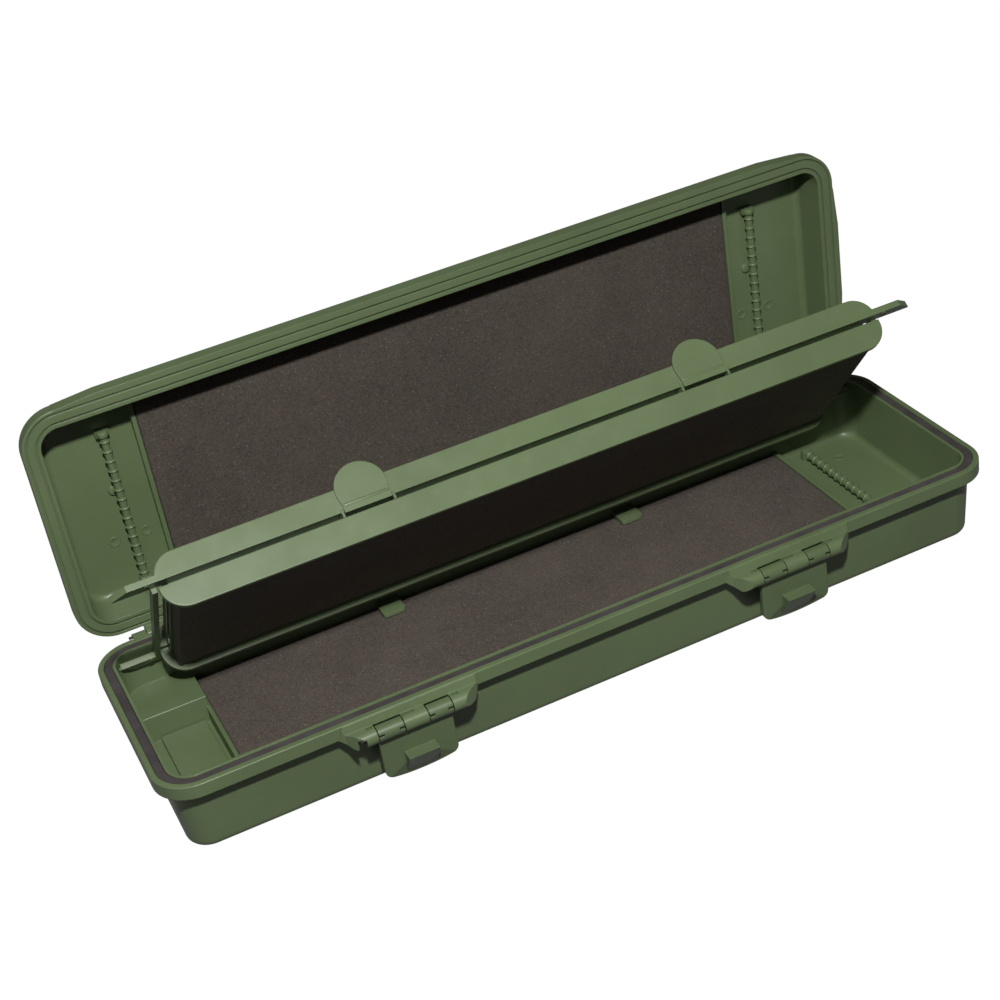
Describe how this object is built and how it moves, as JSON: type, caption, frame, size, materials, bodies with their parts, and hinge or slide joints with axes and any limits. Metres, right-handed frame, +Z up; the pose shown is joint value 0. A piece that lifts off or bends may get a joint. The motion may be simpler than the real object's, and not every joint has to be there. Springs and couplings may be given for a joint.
{
  "type": "fishing rig box",
  "caption": "Long shallow hinged case for fishing rigs, with foam-lined base and lid, a foam-filled flip board that folds down inside, ringed rods for rig loops and snap latches.",
  "frame": {"origin": "centre of the underside of the base, in the plane it rests on", "axes": "+X along the box from its left end to its right end as seen from the front, +Y from the front (latches) to the back (hinges), +Z up"},
  "size_m": [0.3815, 0.145, 0.1488],
  "materials": {
    "olive_plastic": "fine moulded texture",
    "brown_foam": "speckled closed-cell foam",
    "dark_rubber": "soft matte cord",
    "steel": "plain wire"
  },
  "bodies": {
    "base": {"base_shell": "olive_plastic", "rim_seal": "dark_rubber", "base_foam": "brown_foam", "pocket_plate": "olive_plastic", "base_rod": "olive_plastic", "hinge_pin_left": "steel", "hinge_pin_right": "steel", "latch_pin_left": "steel", "latch_pin_right": "steel", "pivot_pin_left": "olive_plastic", "pivot_pin_right": "olive_plastic"},
    "lid": {"lid_shell": "olive_plastic", "lid_foam": "brown_foam", "lid_rod_left": "olive_plastic", "lid_rod_right": "olive_plastic"},
    "board": {"board_back_tray": "olive_plastic", "board_front_tray": "olive_plastic", "board_end_bar_left": "olive_plastic", "board_end_bar_right": "olive_plastic", "board_foam_back": "brown_foam", "board_foam_front": "brown_foam", "thumb_tab_left": "olive_plastic", "thumb_tab_right": "olive_plastic"},
    "left_latch": {"latch_left": "olive_plastic"},
    "right_latch": {"latch_right": "olive_plastic"}
  },
  "joints": [
    {"name": "lid_hinge", "type": "hinge", "parent": "base", "child": "lid", "pos_m": [0, 0.05789, 0.03444], "axis": [1, 0, 0], "range_deg": [0, 90]},
    {"name": "board_hinge", "type": "hinge", "parent": "base", "child": "board", "pos_m": [0, 0.044, 0.0322], "axis": [1, 0, 0], "range_deg": [0, 50.45]},
    {"name": "left_latch_hinge", "type": "hinge", "parent": "base", "child": "left_latch", "pos_m": [-0.0887, -0.059, 0.0302], "axis": [-1, 0, 0], "range_deg": [0, 180]},
    {"name": "right_latch_hinge", "type": "hinge", "parent": "base", "child": "right_latch", "pos_m": [0.0849, -0.059, 0.0302], "axis": [-1, 0, 0], "range_deg": [0, 180]}
  ],
  "couplings": [
    {"joint": "board_hinge", "follows": "lid_hinge", "ratio": 0.5605}
  ]
}
